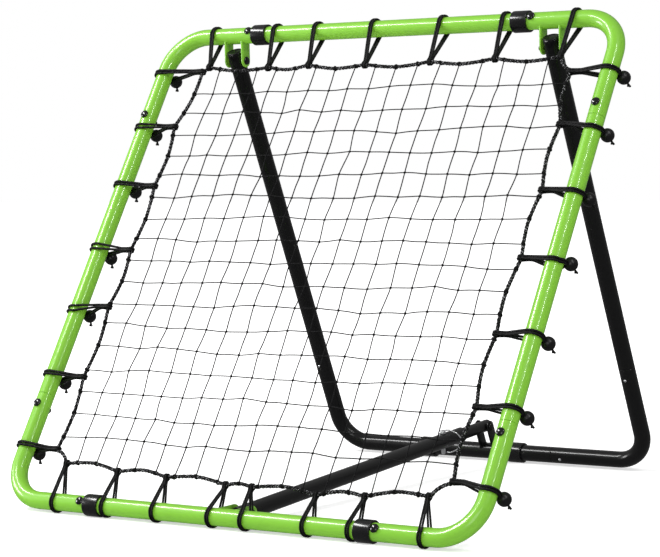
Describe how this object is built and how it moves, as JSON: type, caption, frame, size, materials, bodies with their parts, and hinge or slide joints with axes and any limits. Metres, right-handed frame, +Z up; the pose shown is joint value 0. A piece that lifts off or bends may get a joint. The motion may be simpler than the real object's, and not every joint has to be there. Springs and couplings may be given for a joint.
{
  "type": "pitch back rebounder",
  "caption": "Square tube frame that leans back on a folding stand and holds a net sprung on ball cords, so that a ball thrown or kicked at it comes back.",
  "frame": {"origin": "on the floor, in the middle of the footprint", "axes": "+Z up, +Y from the net frame's lower rail to the stand's rear rail, +X along the rails"},
  "size_m": [1.2482, 1.1014, 1.0589],
  "materials": {
    "green_paint": "gloss lime green powder coat",
    "black_paint": "satin black powder coat",
    "black_plastic": "moulded, light satin",
    "ball_cord": "braided cord sleeve",
    "net_cord": "knotted twisted twine",
    "zinc_steel": "bright zinc"
  },
  "bodies": {
    "net_frame": {"corner_tube_bottom_left": "green_paint", "corner_tube_bottom_right": "green_paint", "corner_tube_top_right": "green_paint", "corner_tube_top_left": "green_paint", "side_tube_left": "green_paint", "side_tube_right": "green_paint", "top_rail_tube": "green_paint", "bottom_rail_tube": "green_paint", "frame_bolt_1": "black_plastic", "frame_bolt_2": "black_plastic", "frame_bolt_3": "black_plastic", "frame_bolt_4": "black_plastic", "frame_bolt_5": "black_plastic", "frame_bolt_6": "black_plastic", "frame_bolt_7": "black_plastic", "frame_bolt_8": "black_plastic", "bottom_ring_left": "black_plastic", "bottom_ring_right": "black_plastic", "top_ring_left": "black_plastic", "top_ring_right": "black_plastic", "net_panel": "net_cord", "net_edge_left": "ball_cord", "net_edge_right": "ball_cord", "net_edge_top": "ball_cord", "net_edge_bottom": "ball_cord", "stand_bolt_left": "black_plastic", "stand_bolt_right": "black_plastic", "strut_front_bolt": "black_plastic"},
    "rear_stand": {"stand_corner_left": "black_paint", "stand_corner_right": "black_paint", "leg_tube_left": "black_paint", "leg_tube_right": "black_paint", "rear_rail_tube": "black_paint", "leg_cap_left": "black_plastic", "leg_cap_right": "black_plastic", "rear_ring_left": "black_plastic", "rear_ring_right": "black_plastic", "strut_rear_bolt": "black_plastic"},
    "strut_outer": {"strut_outer_tube": "black_paint", "strut_front_plug": "black_plastic"},
    "strut_inner": {"strut_inner_tube": "black_paint", "strut_rear_plug": "black_plastic"},
    "pin": {"lock_pin": "zinc_steel"},
    "bail": {"wire_bail": "zinc_steel"},
    "leg_snap_left": {"leg_button_left": "zinc_steel"},
    "leg_snap_right": {"leg_button_right": "zinc_steel"},
    "rail_snap_left": {"rail_button_left": "zinc_steel"},
    "rail_snap_right": {"rail_button_right": "zinc_steel"}
  },
  "joints": [
    {"name": "stand_fold", "type": "hinge", "parent": "net_frame", "child": "rear_stand", "pos_m": [0, 0.12357, 0.97643], "axis": [1, 0, 0], "range_deg": [-4.5, 4.5]},
    {"name": "strut_front_hinge", "type": "hinge", "parent": "net_frame", "child": "strut_outer", "pos_m": [0, -0.46668, 0.024], "axis": [1, 0, 0], "range_deg": [-1.67, 1.67]},
    {"name": "strut_rear_hinge", "type": "hinge", "parent": "rear_stand", "child": "strut_inner", "pos_m": [0, 0.50017, 0.08662], "axis": [1, 0, 0], "range_deg": [-3.23, 3.23]},
    {"name": "lock_pin_slide", "type": "slide", "parent": "strut_outer", "child": "pin", "axis": [0, -0.0646, 0.9979], "range_m": [0, 0.055]},
    {"name": "bail_swing", "type": "hinge", "parent": "pin", "child": "bail", "pos_m": [0, 0.31219, 0.09579], "axis": [0.7071, -0.7056, -0.0457], "range_deg": [0, 151]},
    {"name": "leg_button_left_press", "type": "slide", "parent": "rear_stand", "child": "leg_snap_left", "axis": [0, 0.9209, 0.3898], "range_m": [0, 0.006], "stiffness_N_per_m": 300},
    {"name": "leg_button_right_press", "type": "slide", "parent": "rear_stand", "child": "leg_snap_right", "axis": [0, 0.9209, 0.3898], "range_m": [0, 0.006], "stiffness_N_per_m": 300},
    {"name": "rail_button_left_press", "type": "slide", "parent": "rear_stand", "child": "rail_snap_left", "axis": [0, 0.9209, 0.3898], "range_m": [0, 0.006], "stiffness_N_per_m": 300},
    {"name": "rail_button_right_press", "type": "slide", "parent": "rear_stand", "child": "rail_snap_right", "axis": [0, 0.9209, 0.3898], "range_m": [0, 0.006], "stiffness_N_per_m": 300}
  ],
  "couplings": [
    {"joint": "strut_front_hinge", "follows": "stand_fold", "ratio": 0.32753},
    {"joint": "strut_rear_hinge", "follows": "stand_fold", "ratio": -0.67247},
    {"joint": "bail_swing", "follows": "lock_pin_slide", "rad_per_m": 47.6}
  ]
}
